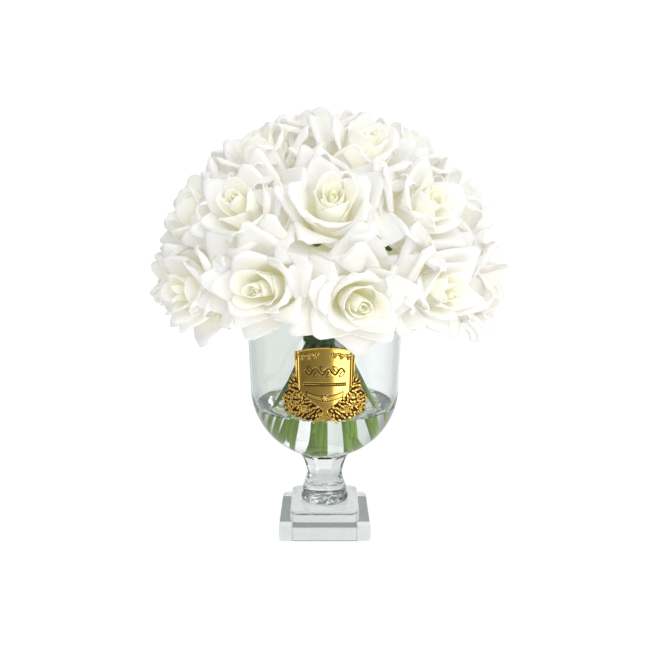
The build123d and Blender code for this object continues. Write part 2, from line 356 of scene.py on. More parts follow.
def foam_material():
    """Closed-cell white foam."""
    material, tree, output = new_material("white_foam")
    cells = add_node(tree, "ShaderNodeTexVoronoi", Vector=object_coordinates(tree), Scale=1400.0)
    tone = ramp(tree, cells.outputs["Distance"], [(0.1, (0.82, 0.82, 0.79)), (0.5, (0.90, 0.90, 0.87))])
    shader = add_node(
        tree,
        "ShaderNodeBsdfPrincipled",
        Base_Color=tone,
        Roughness=0.85,
        Normal=bump(tree, cells.outputs["Distance"], 0.5, 0.0003),
    )
    tree.links.new(shader.outputs["BSDF"], output.inputs["Surface"])
    return material


# ---------------------------------------------------------------- mesh helpers
def make_object(name, points, faces, materials, smooth=True):
    """A mesh object from points in millimetres."""
    mesh = bpy.data.meshes.new(name)
    mesh.from_pydata([tuple(p) for p in np.asarray(points, float) * MM], [], faces)
    for material in materials:
        mesh.materials.append(material)
    if smooth:
        mesh.polygons.foreach_set("use_smooth", [True] * len(mesh.polygons))
    mesh.update()
    made = bpy.data.objects.new(name, mesh)
    bpy.context.collection.objects.link(made)
    return made


def place(piece, slot_name, *nodes):
    """Fixes a piece to the one rigid body and hides the nodes that it stands for. slot_name is not used."""
    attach(piece, "root")
    if nodes:
        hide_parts(*nodes)
    return piece


def box_mm(node):
    """A CAD node's lowest and highest corners in millimetres."""
    low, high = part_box(node)
    return np.array(low) / MM, np.array(high) / MM


def turned(name, outline, segments, materials, marks):
    """Turns an open outline of (radius, height) from axis to axis. Marks gives each band's material."""
    angles = np.arange(segments) * 2 * math.pi / segments
    points, rows = [], []
    for radius, height in outline:
        if radius == 0:
            rows.append([len(points)])
            points.append((0, 0, height))
            continue
        rows.append(list(range(len(points), len(points) + segments)))
        points.extend((radius * math.cos(a), radius * math.sin(a), height) for a in angles)
    faces, indices = [], []
    for band, (lower, upper) in enumerate(zip(rows, rows[1:])):
        for k in range(segments):
            n = (k + 1) % segments
            low_pair = [lower[k % len(lower)], lower[n % len(lower)]]
            high_pair = [upper[n % len(upper)], upper[k % len(upper)]]
            faces.append(list(dict.fromkeys(low_pair + high_pair)))
            indices.append(marks[band])
    made = make_object(name, points, faces, materials)
    made.data.polygons.foreach_set("material_index", indices)
    return made


def dress(node, *materials):
    """Gives a CAD node its materials, the first one all over, and returns its mesh."""
    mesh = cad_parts[node].data
    mesh.materials.clear()
    for material in materials:
        mesh.materials.append(material)
    return mesh


# ---------------------------------------------------------------- vase
BOWL_SEGMENTS = 192
EQUATOR_Z = 155.0
BOTTOM_DEPTH = 76.0
BOTTOM_GLASS = 6.0
WALL = 3.4
EQUATOR_RADIUS = 78.6
# The resin stands clear of the glass by RESIN_GAP and creeps up it at its edge.
RESIN_GAP = 0.05
CREEP_HEIGHT, CREEP_WIDTH = 1.4, 7.0


def ellipse_points(radius, depth, start, end, count):
    """Points on the round bottom, between two angles below the equator in degrees."""
    angles = [math.radians(start + (end - start) * k / count) for k in range(count + 1)]
    return [(radius * math.cos(a), EQUATOR_Z - depth * math.sin(a)) for a in angles]


def build_bowl(glass, bonded, level):
    """The bowl, with the glass under the resin and on the pedestal marked as bonded."""
    (_, _, seat), (rim_radius, _, top) = box_mm("bowl")
    bead_radius = WALL / 2
    rim_z = top - bead_radius
    flare, rise = rim_radius - EQUATOR_RADIUS, rim_z - EQUATOR_Z
    inner_radius = EQUATOR_RADIUS - WALL
    inner_depth = EQUATOR_Z - seat - BOTTOM_GLASS
    seat_angle = math.degrees(math.asin((EQUATOR_Z - seat) / BOTTOM_DEPTH))
    level_angle = math.degrees(math.asin((EQUATOR_Z - level) / inner_depth))
    outside = ellipse_points(EQUATOR_RADIUS, BOTTOM_DEPTH, seat_angle, 0, 40)
    wall = [(EQUATOR_RADIUS + flare * t, EQUATOR_Z + rise * t) for t in np.linspace(0, 1, 13)[1:]]
    bead = [
        (rim_radius - bead_radius + bead_radius * math.cos(a), rim_z + bead_radius * math.sin(a))
        for a in np.linspace(0, math.pi, 13)[1:-1]
    ]
    inside = [(r - WALL, z) for r, z in reversed(wall)]
    above = ellipse_points(inner_radius, inner_depth, 0, level_angle, 10)
    below = ellipse_points(inner_radius, inner_depth, level_angle, 90, 36)[1:]
    below[-1] = (0, below[-1][1])
    outline = [(0, seat), *outside, *wall, *bead, *inside, *above, *below]
    marks = [1] + [0] * (len(outline) - 2 - len(below)) + [1] * len(below)
    made = turned("bowl_glass", outline, BOWL_SEGMENTS, [glass, bonded], marks)
    return place(made, "crystal_glass", "bowl")


def build_resin(clear, bonded, level):
    """The resin: a level top that creeps up the glass a little, and bonded sides."""
    seat = box_mm("bowl")[0][2]
    inner_radius = EQUATOR_RADIUS - WALL - RESIN_GAP
    inner_depth = EQUATOR_Z - seat - BOTTOM_GLASS
    edge_angle = math.degrees(math.asin((EQUATOR_Z - level - CREEP_HEIGHT) / inner_depth))
    sides = ellipse_points(inner_radius, inner_depth - RESIN_GAP, 90, edge_angle, 40)
    sides[0] = (0, sides[0][1])
    edge = sides[-1][0]
    top = [(edge - CREEP_WIDTH * t, level + CREEP_HEIGHT * (1 - t) ** 3) for t in np.linspace(0, 1, 9)[1:]]
    top += [(r, level) for r in np.linspace(top[-1][0], 0, 14)[1:]]
    outline = [*sides, *top]
    marks = [1] * (len(sides) - 1) + [0] * (len(outline) - len(sides))
    made = turned("resin_clear", outline, BOWL_SEGMENTS, [clear, bonded], marks)
    return place(made, "clear_resin", "resin_water")


def dress_pedestal(glass, bonded, glue):
    """Gives the CAD pedestal its glass, with its top bonded to the bowl and its base glued to the foot."""
    mesh = dress("cut_pedestal", glass, bonded, glue)
    heights = [vertex.co.z for vertex in mesh.vertices]
    ends = {1: max(heights), 2: min(heights)}
    for polygon in mesh.polygons:
        for index, end in ends.items():
            if all(abs(heights[i] - end) < 1e-5 for i in polygon.vertices):
                polygon.material_index = index


def build_glue(name, node, material, inset):
    """A thin round bond with a bulged edge, a little inside its CAD node."""
    low, high = box_mm(node)
    radius = high[0] - 0.3
    middle, half = (low[2] + high[2]) / 2, (high[2] - low[2]) / 2 - inset
    bulge = np.linspace(-1.57, 1.57, 7)
    edge = [(radius + half * math.cos(a), middle + half * math.sin(a)) for a in bulge]
    outline = [(0, middle - half), *edge, (0, middle + half)]
    made = turned(name, outline, 96, [material], [0] * (len(outline) - 1))
    return place(made, "clear_glue", node)


# ---------------------------------------------------------------- badge
# The badge is worked out on a grid of cells, x across and z up, and then curved to the wall.
BADGE_CELL = 0.42
BADGE_REACH, BADGE_LOW, BADGE_HIGH = 46, 135, 215
BADGE_GAP, BADGE_SHEET = 1.0, 0.75
PLATE_HALF_WIDTH, PLATE_TOP, PLATE_SHOULDER, PLATE_TIP = 29.0, 213.0, 208.0, 139.0
RIM_RADIUS, RIM_Z = 81.5, 240.0
FRAME_FOOT, FRAME_GROOVES = 166.0, (1.9, 4.2)
VINE_Z, VINE_SWING, VINE_BEND, VINE_REACH = 189.2, 3.0, 6.2, 19.0
BEAD_Z, BEAD_PITCH, BEAD_RADIUS, BEAD_REACH = 176.4, 1.7, 0.72, 20.5
RIBBON_Z, RIBBON_HALF, RIBBON_REACH = 162.4, 2.4, 17.4
CHEVRON_PITCH = 2.6
# The cast border on the right half, as heights with its inner and outer edges. The left mirrors it.
BORDER_HEIGHTS = [139.0, 143.0, 147.0, 151.0, 156.0, 163.0, 170.0, 178.0, 185.0]
BORDER_INNER = [9.0, 6.5, 3.5, 2.6, 9.0, 19.0, 25.0, 27.0, 28.5]
BORDER_OUTER = [15.0, 29.0, 40.0, 41.5, 40.5, 43.0, 36.5, 36.0, 31.5]
BORDER_SPACING = 2.75


def wall_radius(z):
    """The radius of the bowl's outside at a height above its equator."""
    return EQUATOR_RADIUS + (z - EQUATOR_Z) / (RIM_Z - EQUATOR_Z) * (RIM_RADIUS - EQUATOR_RADIUS)


def side_inside(x, z):
    """How far a point is inside the shield's nearer side."""
    return PLATE_HALF_WIDTH - (PLATE_SHOULDER - z) / 48 - np.abs(x)


def plate_inside(x, z):
    """Roughly how far a point is inside the shield's outline, in millimetres."""
    top = PLATE_TOP - 5.0 * (x / PLATE_HALF_WIDTH) ** 2 - z
    bottom = z - PLATE_TIP - 21.0 * (np.abs(x) / 28) ** 1.3
    return np.minimum(np.minimum(side_inside(x, z), top), bottom * 0.8)


def ridge(offset, width):
    """1 along a line, falling off smoothly over that width on both sides of it."""
    return np.exp(-((offset / width) ** 2))


def leaf(x, z, centre, heading, length, width):
    """A pointed leaf with a midrib and veins: how far inside it a point is, and its relief from 0 to 1."""
    c, s = math.cos(heading), math.sin(heading)
    along = ((x - centre[0]) * c + (z - centre[1]) * s) / (length / 2)
    across = ((z - centre[1]) * c - (x - centre[0]) * s) / (width / 2)
    inside = 1 - along ** 2 - np.abs(across)
    dome = np.sqrt(np.clip(inside, 0, 1))
    veins = 0.12 * np.cos(9 * (along - 0.6 * np.abs(across)))
    return inside * width / 2, dome * (0.85 - 0.5 * ridge(across, 0.2) + veins)


def rosette(x, z, centre, radius, petals, turn):
    """A round flower with a raised eye: how far inside it a point is, and its relief from 0 to 1."""
    across, up = x - centre[0], z - centre[1]
    out = np.hypot(across, up) / radius
    lobes = np.cos(petals * np.arctan2(up, across) + turn)
    inside = 0.82 + 0.18 * lobes - out
    petal = np.sqrt(np.clip(inside * 1.4, 0, 1)) * (0.62 + 0.38 * lobes * np.clip(out * 2, 0, 1))
    eye = ridge(out, 0.2)
    moat = ridge(out - 0.38, 0.1)
    return inside * radius, np.clip(petal - 0.45 * moat + 0.6 * eye, 0, 1.2)


def border_motifs(rng):
    """The leaves and flowers spread evenly over the border, and those along the shield's top."""
    places = []
    for _ in range(2600):
        z = rng.uniform(BORDER_HEIGHTS[0], BORDER_HEIGHTS[-1])
        inner = np.interp(z, BORDER_HEIGHTS, BORDER_INNER)
        outer = np.interp(z, BORDER_HEIGHTS, BORDER_OUTER) - 1.6
        x = rng.uniform(inner + 1.0, max(outer, inner + 1.5))
        if all(math.hypot(x - px, z - pz) > BORDER_SPACING for px, pz in places):
            places.append((x, z))
    motifs = []
    for k, (x, z) in enumerate(places):
        if k % 3 == 0:
            radius, petals = rng.uniform(2.0, 2.8), int(rng.integers(5, 7))
            motifs.append((rosette, (x, z), radius, petals, rng.uniform(0, 6.28)))
        else:
            heading = math.atan2(z - 176, x) + rng.uniform(-0.9, 0.9)
            motifs.append((leaf, (x, z), heading, rng.uniform(4.2, 6.8), rng.uniform(1.7, 2.6)))
    for k in range(9):
        x, z = 7 + 2.2 * k, 206.5 - 0.22 * k + rng.uniform(-1, 1)
        motifs.append((leaf, (x, z), rng.uniform(-1.2, 1.2), rng.uniform(3.2, 4.6), rng.uniform(1.3, 1.9)))
        if k % 3 == 1:
            motifs.append((rosette, (x, z - 2.5), 1.7, 5, rng.uniform(0, 6.28)))
    return motifs


def line_distance(x, z, route):
    """How far points are from a route of straight strokes."""
    nearest = np.full(x.shape, 99.0)
    for (ax, az), (bx, bz) in zip(route, route[1:]):
        dx, dz = bx - ax, bz - az
        share = np.clip(((x - ax) * dx + (z - az) * dz) / (dx * dx + dz * dz), 0, 1)
        nearest = np.minimum(nearest, np.hypot(x - ax - share * dx, z - az - share * dz))
    return nearest


def vine_height(x):
    """The height of the wavy stem of the vine across the plate."""
    return VINE_Z + VINE_SWING * np.sin(math.pi * x / VINE_BEND)


def add_frame(x, z, relief, lines):
    """A bar between two grooves down each side of the shield."""
    side = side_inside(x, z)
    above = z > FRAME_FOOT
    for inset in FRAME_GROOVES:
        groove = ridge(side - inset, 0.4) * above
        relief = relief - 0.35 * groove
        lines = np.maximum(lines, 0.8 * groove)
    bar = sum(FRAME_GROOVES) / 2
    return relief + 0.3 * ridge(side - bar, 0.5) * above, lines


def add_vine(x, z, relief, lines):
    """The vine across the plate, with a leaf in each bend."""
    stem = [(k, float(vine_height(k))) for k in np.linspace(-VINE_REACH, VINE_REACH, 77)]
    cut = ridge(line_distance(x, z, stem), 0.7)
    relief = relief - 0.3 * cut
    lines = np.maximum(lines, cut)
    for k in range(-3, 3):
        side = -1 if k % 2 else 1
        centre = (VINE_BEND * (k + 0.5) + 0.8, VINE_Z - 2.6 * side)
        inside, raised = leaf(x, z, centre, side * 0.9, 7.6, 3.4)
        relief = np.where(inside > 0, 0.15 + 0.35 * raised, relief)
        lines = np.where(inside > -0.35, ridge(inside, 0.55), lines)
    return relief, lines


def add_beads(x, z, relief, lines):
    """A row of beads in a sunk band."""
    half = BEAD_PITCH / 2
    band = (np.abs(z - BEAD_Z) < BEAD_PITCH) & (np.abs(x) < BEAD_REACH)
    bead = np.hypot((x + half) % BEAD_PITCH - half, z - BEAD_Z) / BEAD_RADIUS
    relief = np.where(band, -0.25 + 0.6 * np.sqrt(np.clip(1 - bead ** 2, 0, 1)), relief)
    lines = np.where(band, np.where(bead < 0.85, 0.15, 0.95), lines)
    return relief, lines


def add_ribbon(x, z, relief, lines):
    """A sagging ribbon with a line along it and a flower at its middle."""
    reach = np.abs(x) - RIBBON_REACH
    across = z - RIBBON_Z - 4.4 * (x / 17) ** 2
    beyond = np.abs(across) - RIBBON_HALF
    relief = np.where((beyond < 0) & (reach < 0), 0.35 - 0.1 * np.cos(4.2 * across), relief)
    edge = ridge(beyond, 0.5) * (reach < 0.4)
    edge = np.maximum(edge, ridge(reach - 0.1, 0.5) * (beyond < 0.2))
    inner_lines = ridge(beyond + 1.2, 0.25) * (reach < -1.4) * (np.abs(x) > 4)
    lines = np.maximum(lines, 0.9 * np.maximum(edge, 0.5 * inner_lines))
    disc, flower = rosette(x, z, (0, RIBBON_Z + 0.4), 3.6, 6, 0.0)
    relief = np.where(disc > -0.4, 0.4 + 0.6 * flower, relief)
    lines = np.where(disc > -0.4, ridge(disc, 0.5), lines)
    return relief, lines


def add_chevrons(x, z, relief, lines):
    """Chevrons in the shield's tip."""
    mirrored = np.abs(x)
    offset = (z - 0.55 * mirrored - 141.0) % CHEVRON_PITCH - CHEVRON_PITCH / 2
    on_chevron = (mirrored < 6.0) & (z < 147.0 + 0.4 * mirrored)
    return relief, np.where(on_chevron, np.maximum(lines, 0.7 * ridge(offset, 0.3)), lines)


def add_border(x, z, plate, relief, lines):
    """The cast border over its sunk ground, and how far points are inside the whole badge's outline."""
    mirrored = np.abs(x)
    low, high = BORDER_HEIGHTS[0], BORDER_HEIGHTS[-1]
    inner = np.interp(z, BORDER_HEIGHTS, BORDER_INNER)
    outer = np.interp(z, BORDER_HEIGHTS, BORDER_OUTER) - 1.5
    web = np.minimum(np.minimum(outer - mirrored, z - low - 1), high - 2 - z)
    ground = (mirrored > inner) & (np.maximum(web, plate) > 0) & (z < high)
    relief = np.where(ground, -0.2, relief)
    lines = np.where(ground, 1.0, lines)
    outline = np.maximum(plate, web)
    for motif, *shape in border_motifs(np.random.default_rng(SEED)):
        inside, raised = motif(mirrored, z, *shape)
        outline = np.maximum(outline, inside)
        top = 0.3 + 1.4 * raised
        wins = (inside > 0) & ((top > relief) | (lines > 0.9))
        relief = np.where(wins, top, relief)
        lines = np.where(wins, np.clip(1.0 - 2.4 * raised, 0, 1), lines)
    return relief, lines, outline


def badge_relief(x, z):
    """The badge's relief in millimetres, its dark lines from 0 to 1, and the distance inside its outline."""
    plate = plate_inside(x, z)
    relief = np.where(plate < 0.9, 0.3, 0.0)
    lines = np.zeros(x.shape)
    for add in (add_frame, add_vine, add_beads, add_ribbon, add_chevrons):
        relief, lines = add(x, z, relief, lines)
    return add_border(x, z, plate, relief, lines)


def blurred(field, cells):
    """A field averaged over a square of cells on each side of every point."""
    kernel = np.ones(2 * cells + 1) / (2 * cells + 1)
    for axis in (0, 1):
        field = np.apply_along_axis(np.convolve, axis, field, kernel, "same")
    return field


def fit_outline(x, z, inside):
    """The grid's squares inside the outline, and its points with those along the outline drawn onto it."""
    half = 0.5 * BADGE_CELL
    slope_x, slope_z = np.gradient(inside, BADGE_CELL)
    steep = np.maximum(slope_x ** 2 + slope_z ** 2, 0.25)
    pull = np.where(inside < half, np.clip(inside / steep, -half, half), 0)
    kept = inside > -0.8 * half
    cells = kept[:-1, :-1] & kept[1:, :-1] & kept[1:, 1:] & kept[:-1, 1:]
    index = np.arange(x.size).reshape(x.shape)
    corners = (index[:-1, :-1], index[1:, :-1], index[1:, 1:], index[:-1, 1:])
    return np.stack([corner[cells] for corner in corners], axis=-1), x - slope_x * pull, z - slope_z * pull


def shell_faces(quads, count):
    """A closed sheet's faces: its front, its back with count added to the numbers, and the strip between."""
    edges = set()
    for a, b, c, d in quads:
        edges.update(((a, b), (b, c), (c, d), (d, a)))
    faces = [tuple(quad) for quad in quads]
    faces += [tuple(corner + count for corner in reversed(quad)) for quad in quads]
    faces += [(b, a, a + count, b + count) for a, b in sorted(edges) if (b, a) not in edges]
    return faces


def build_badge(material):
    """The stamped badge: a fine relief curved to the bowl's wall, with a smooth back."""
    columns = np.arange(-BADGE_REACH, BADGE_REACH + BADGE_CELL, BADGE_CELL)
    rows = np.arange(BADGE_LOW, BADGE_HIGH, BADGE_CELL)
    x, z = np.meshgrid(columns, rows, indexing="ij")
    relief, lines, inside = badge_relief(x, z)
    hollow = np.clip((blurred(relief, 2) - relief) * 1.8, 0, 1)
    patina = np.clip(np.maximum(hollow, lines), 0, 1)
    quads, x, z = fit_outline(x, z, inside)
    used, numbers = np.unique(quads, return_inverse=True)
    x, z, relief, patina = (field.reshape(-1)[used] for field in (x, z, relief, patina))
    back = wall_radius(z) + BADGE_GAP
    points = []
    for radius in (back + BADGE_SHEET + relief, back + 0.1):
        points.append(np.stack([x, -np.sqrt(radius ** 2 - x ** 2), z], axis=-1))
    count = len(used)
    faces = shell_faces(numbers.reshape(quads.shape).tolist(), count)
    made = make_object("badge_relief", np.vstack(points), faces, [material])
    values = np.concatenate([patina, np.full(count, 0.4)])
    made.data.attributes.new("patina", "FLOAT", "POINT").data.foreach_set("value", values)
    return place(made, "gilt_brass", "gold_badge")


# ---------------------------------------------------------------- roses
ROSE_COUNT = 25
# Roses stand on rays from the dome's centre and start this far out. Their petals are drawn to ROSE_SIZE.
DOME_CENTRE = Vector((0, 0, 264))
ROSE_START, ROSE_SIZE, SEPAL_START = 111.0, 1.10, 102.0
PETAL_THICKNESS = 0.55
GOLDEN_ANGLE = 137.5
# Each whorl of a rose, from its heart outwards, in millimetres and degrees.
# reach is the length of a petal's midrib, width its greatest width, and foot how far from the axis it starts.
# lean gives the midrib's angle to the flower's axis at its foot, its middle and its tip. hug is how far the
# petal wraps round the axis, low and high: 1 follows it, 0 is flat. The margins roll back behind two lines:
# fold is their slope, margin sets how far beyond the tip they meet, and roll is the radius of the roll. tuck
# shifts one side over its neighbour, ripple is the height of the waves, and grid counts the points across and
# along.
WHORLS = [
    dict(count=3, reach=58, width=19, foot=0.8, lean=(13, 1, -7), hug=(1.2, 1.25),
         fold=20, margin=3.0, roll=3.0, tuck=1.9, ripple=0.2, grid=(9, 15)),
    dict(count=4, reach=62, width=28, foot=1.6, lean=(24, 2, -1), hug=(1.1, 1.2),
         fold=28, margin=2.2, roll=2.6, tuck=2.2, ripple=0.3, grid=(11, 17)),
    dict(count=4, reach=65, width=40, foot=2.6, lean=(38, 4, 16), hug=(1.0, 1.0),
         fold=38, margin=1.2, roll=3.0, tuck=2.4, ripple=0.5, grid=(15, 19)),
    dict(count=5, reach=68, width=52, foot=3.6, lean=(54, 7, 46), hug=(1.0, 0.6),
         fold=52, margin=0.3, roll=2.6, tuck=2.8, ripple=0.8, grid=(17, 21)),
    dict(count=5, reach=73, width=64, foot=4.6, lean=(68, 14, 80), hug=(1.0, 0.3),
         fold=57, margin=0.2, roll=2.7, tuck=2.8, ripple=1.2, grid=(19, 23)),
    dict(count=6, reach=74, width=70, foot=5.2, lean=(78, 30, 98), hug=(0.9, 0.15),
         fold=58, margin=0.2, roll=2.8, tuck=2.4, ripple=1.8, grid=(19, 23)),
]
SEPALS = [
    dict(count=5, reach=30, width=11, foot=5.0, lean=(40, 58, 84), hug=(1.0, 0.6),
         fold=60, margin=0.0, roll=3.0, tuck=0.3, ripple=0.5, grid=(7, 11)),
]
# The share of a midrib's length from its foot to its middle.
MIDDLE_SHARE = 0.42
# How much of the heart's yellow-green each whorl takes, from the innermost outwards.
HEART_SHARES = [0.95, 0.65, 0.25, 0.0]
# Roses low in the dome, under this rise of their axis, are crowded from below, those over the badge most.
LOW_AXIS = 0.2
CROWDED_BELOW, CROWDED_FRONT = 0.70, 0.64


def smoothstep(x):
    """0 up to 0 and 1 from 1 on, with an easy curve between."""
    x = np.clip(x, 0, 1)
    return x * x * (3 - 2 * x)


def flat_petal(whorl, rng, u, v):
    """A petal laid flat, x across and y along it, how far its margins roll back, and its reach."""
    reach = whorl["reach"] * rng.uniform(0.95, 1.04)
    width = whorl["width"] * rng.uniform(0.94, 1.08)
    spread = 0.20 + 0.80 * np.sin(np.pi / 2 * np.clip(v / 0.72, 0, 1)) ** 1.25
    spread = spread * (1 - 0.26 * smoothstep((v - 0.7) / 0.3))
    x = u * width / 2 * spread
    y = reach * v * (1 - 0.20 * np.abs(u) ** 2.4 * v)
    # The margins roll back behind two slanting lines that meet at the tip.
    back = np.zeros_like(x)
    for side in (-1, 1):
        slope = math.radians(whorl["fold"] + rng.uniform(-5, 5))
        margin = whorl["margin"] * rng.uniform(0.4, 1.6)
        normal_x, normal_y = side * math.sin(slope), math.cos(slope)
        beyond = np.clip(x * normal_x + (y - reach - 0.6 * margin) * normal_y, 0, None)
        turn = np.clip(beyond / whorl["roll"], 0, 2.6)
        travel = whorl["roll"] * np.sin(turn) - beyond
        x = x + normal_x * travel
        y = y + normal_y * travel
        back = back + whorl["roll"] * (1 - np.cos(turn))
    return x, y, back, reach


def midrib(whorl, rng, openness, reach, position):
    """The curved midrib's distance from the axis, its height and its lean, at each share of its length."""
    lean_foot, lean_middle, lean_tip = whorl["lean"]
    lean_tip = lean_tip * openness + rng.uniform(-9, 9)
    lean_middle = lean_middle + rng.uniform(-3, 3)
    steps = np.linspace(0, 1, 160)
    low = lean_middle + (lean_foot - lean_middle) * (1 - smoothstep(steps / MIDDLE_SHARE))
    opened = np.clip((steps - MIDDLE_SHARE) / (1 - MIDDLE_SHARE), 0, 1) ** 1.7
    high = lean_middle + (lean_tip - lean_middle) * opened
    lean = np.radians(np.where(steps < MIDDLE_SHARE, low, high))
    stretch = reach / (len(steps) - 1)
    out = whorl["foot"] + np.concatenate([[0], np.cumsum(np.sin(lean[:-1])) * stretch])
    up = np.concatenate([[0], np.cumsum(np.cos(lean[:-1])) * stretch])
    return [np.interp(position, steps, values) for values in (out, up, lean)]


def petal_surface(whorl, rng, openness):
    """One petal in the flower's frame, facing +X: a grid of points with its growth from foot to tip."""
    across, along = whorl["grid"]
    u = np.linspace(-1, 1, across)[:, None] * np.ones(along)[None, :]
    v = np.ones(across)[:, None] * np.linspace(0, 1, along)[None, :]
    x, y, back, reach = flat_petal(whorl, rng, u, v)
    position = np.clip(y / reach, 0, 1)
    out, up, tilt = midrib(whorl, rng, openness, reach, position)
    # Wrap it round the axis.
    hug_low, hug_high = whorl["hug"]
    hug = hug_low + (hug_high - hug_low) * smoothstep((position - 0.3) / 0.7)
    curve = hug / np.maximum(out, 3.2)
    angle = np.clip(x * curve, -2.7, 2.7)
    lateral = np.sin(angle) / curve
    inward = (1 - np.cos(angle)) / curve
    # Ripples grow towards the edge, and one side tucks under its neighbour.
    phase = rng.uniform(0, 6.28)
    waves = rng.uniform(1.5, 2.6)
    edge = position ** 2 * (0.3 + 0.7 * np.abs(u) ** 1.5)
    ripple = whorl["ripple"] * edge * np.sin(waves * math.pi * u + phase + 2.0 * position)
    crease = 0.35 * whorl["ripple"] * position ** 1.5 * np.sin(6.5 * u + 3.1 * phase)
    normal = inward - back + ripple + crease + whorl["tuck"] * 0.5 * u * smoothstep(position / 0.35)
    radial = out - normal * np.cos(tilt)
    height = up + normal * np.sin(tilt)
    points = np.stack([radial, lateral, height], axis=-1).reshape(-1, 3)
    return points, position.reshape(-1), u.reshape(-1), v.reshape(-1)


def grid_faces(across, along, offset):
    """The four-sided faces of a grid of points numbered from offset."""
    faces = []
    for i in range(across - 1):
        for j in range(along - 1):
            a = offset + i * along + j
            faces.append((a, a + along, a + along + 1, a + 1))
    return faces


def rose_arrays(whorls, rng, openness):
    """All petals of the whorls given, in the flower's frame with its axis along +Z."""
    points, faces, growth, flat, heart = [], [], [], [], []
    start = rng.uniform(0, 360)
    offset = 0
    for ring, whorl in enumerate(whorls):
        start += GOLDEN_ANGLE
        heart_share = HEART_SHARES[min(ring, len(HEART_SHARES) - 1)]
        for k in range(whorl["count"]):
            petal, grown, u, v = petal_surface(whorl, rng, openness)
            turn = math.radians(start + k * 360 / whorl["count"] + rng.uniform(-7, 7))
            nod = math.radians(rng.uniform(-2.5, 2.5) * (ring / 3))
            c, s = math.cos(nod), math.sin(nod)
            petal = petal @ np.array([[c, 0, s], [0, 1, 0], [-s, 0, c]])
            c, s = math.cos(turn), math.sin(turn)
            petal = petal @ np.array([[c, s, 0], [-s, c, 0], [0, 0, 1]])
            points.append(petal)
            growth.append(grown)
            flat.append(np.stack([u * 0.5 + 0.5 + rng.uniform(0, 5), v], axis=-1))
            heart.append(heart_share * (0.3 + 0.7 * (1 - grown)))
            faces.extend(grid_faces(*whorl["grid"], offset))
            offset += len(petal)
    return np.vstack(points), faces, np.concatenate(growth), np.vstack(flat), np.concatenate(heart)


def crowd(points, up, share):
    """Draws a flower's lower side in towards its axis. Up is the world's +Z in the flower's frame."""
    below = np.minimum(points @ up, 0)
    return points - (1 - share) * below[:, None] * up[None, :]


def thicken(made):
    """Gives a sheet of petals its thickness."""
    thick = made.modifiers.new("thickness", "SOLIDIFY")
    thick.thickness = PETAL_THICKNESS * MM
    thick.offset = 0


def store_petal_data(mesh, growth, heart, flat):
    """Keeps each point's growth and share of the heart's colour, and each petal laid flat as its UV map."""
    for name, values in (("growth", growth), ("heart", heart)):
        mesh.attributes.new(name, "FLOAT", "POINT").data.foreach_set("value", values)
    corners = np.empty(len(mesh.loops), dtype=np.int32)
    mesh.loops.foreach_get("vertex_index", corners)
    mesh.uv_layers.new(name="flat").data.foreach_set("uv", flat[corners].reshape(-1))


def build_rose(number, petal, sepal):
    """One rose on its stem's axis, in place of its plain CAD head, and the sepals under it."""
    node = f"rose_{number:02d}"
    low, high = box_mm(node)
    axis = Vector((low + high) / 2) - DOME_CENTRE
    axis.normalize()
    rng = np.random.default_rng(SEED * 100 + number)
    openness = rng.uniform(0.86, 1.12)
    points, faces, growth, flat, heart = rose_arrays(WHORLS, rng, openness)
    turn = np.array(axis.to_track_quat("Z", "Y").to_matrix())
    if axis.z < LOW_AXIS:
        up = np.array([turn[2][0], turn[2][1], 0])
        front = axis.y < -0.7 * math.hypot(axis.x, axis.y)
        points = crowd(points, up / np.linalg.norm(up), CROWDED_FRONT if front else CROWDED_BELOW)
    # The roses behind are further apart, so they are fuller.
    fuller = min(max(0.5 + 1.2 * axis.y, 0), 1)
    start = ROSE_START + 4.0 * axis.x - 5.0 * axis.z - 6.0 * fuller
    size = ROSE_SIZE * (1 + 0.14 * fuller) * rng.uniform(0.98, 1.03)
    points = points * size @ turn.T + np.array(DOME_CENTRE + axis * start)
    made = make_object(f"petals_{number:02d}", points, faces, [petal])
    store_petal_data(made.data, growth, heart, flat)
    thicken(made)
    place(made, "petal_white", node)

    points, faces, *_ = rose_arrays(SEPALS, rng, 1.0)
    points = points @ turn.T + np.array(DOME_CENTRE + axis * SEPAL_START)
    made = make_object(f"sepals_{number:02d}", points, faces, [sepal])
    thicken(made)
    place(made, "stem_green")


# ---------------------------------------------------------------- stage
FLOOR_RADIUS = 420.0
# The room's light on matt surfaces, from behind the part and from the camera's side of it, and its loss to
# the sides. The camera sees the room itself as white of ROOM_SEEN.
ROOM_BEHIND, ROOM_FRONT = 0.30, 1.0
ROOM_SIDE_LOSS = 0.42
ROOM_SEEN = 1.1
# Grey tones from left (0) to right (1): behind the part, and on the camera's side of it.
BACKDROP_TONES = [
    (0.0, (0.70, 0.71, 0.72)),
    (0.12, (0.30, 0.31, 0.32)),
    (0.27, (0.78, 0.82, 0.80)),
    (0.44, (0.82, 0.86, 0.83)),
    (0.5, (0.93, 0.95, 0.94)),
    (0.55, (1.1, 1.11, 1.12)),
    (0.73, (0.88, 0.89, 0.90)),
    (0.88, (0.36, 0.37, 0.38)),
    (1.0, (0.9, 0.9, 0.9)),
]
SOFTBOX_TONES = [
    (0.0, (0.6, 0.6, 0.6)),
    (0.2, (0.16, 0.16, 0.16)),
    (0.36, (0.22, 0.22, 0.22)),
    (0.5, (0.27, 0.27, 0.27)),
    (0.61, (0.34, 0.34, 0.34)),
    (0.63, (3.6, 3.6, 3.6)),
    (0.79, (3.2, 3.2, 3.2)),
    (0.86, (1.3, 1.3, 1.3)),
    (0.9, (0.5, 0.5, 0.5)),
    (1.0, (0.8, 0.8, 0.8)),
]


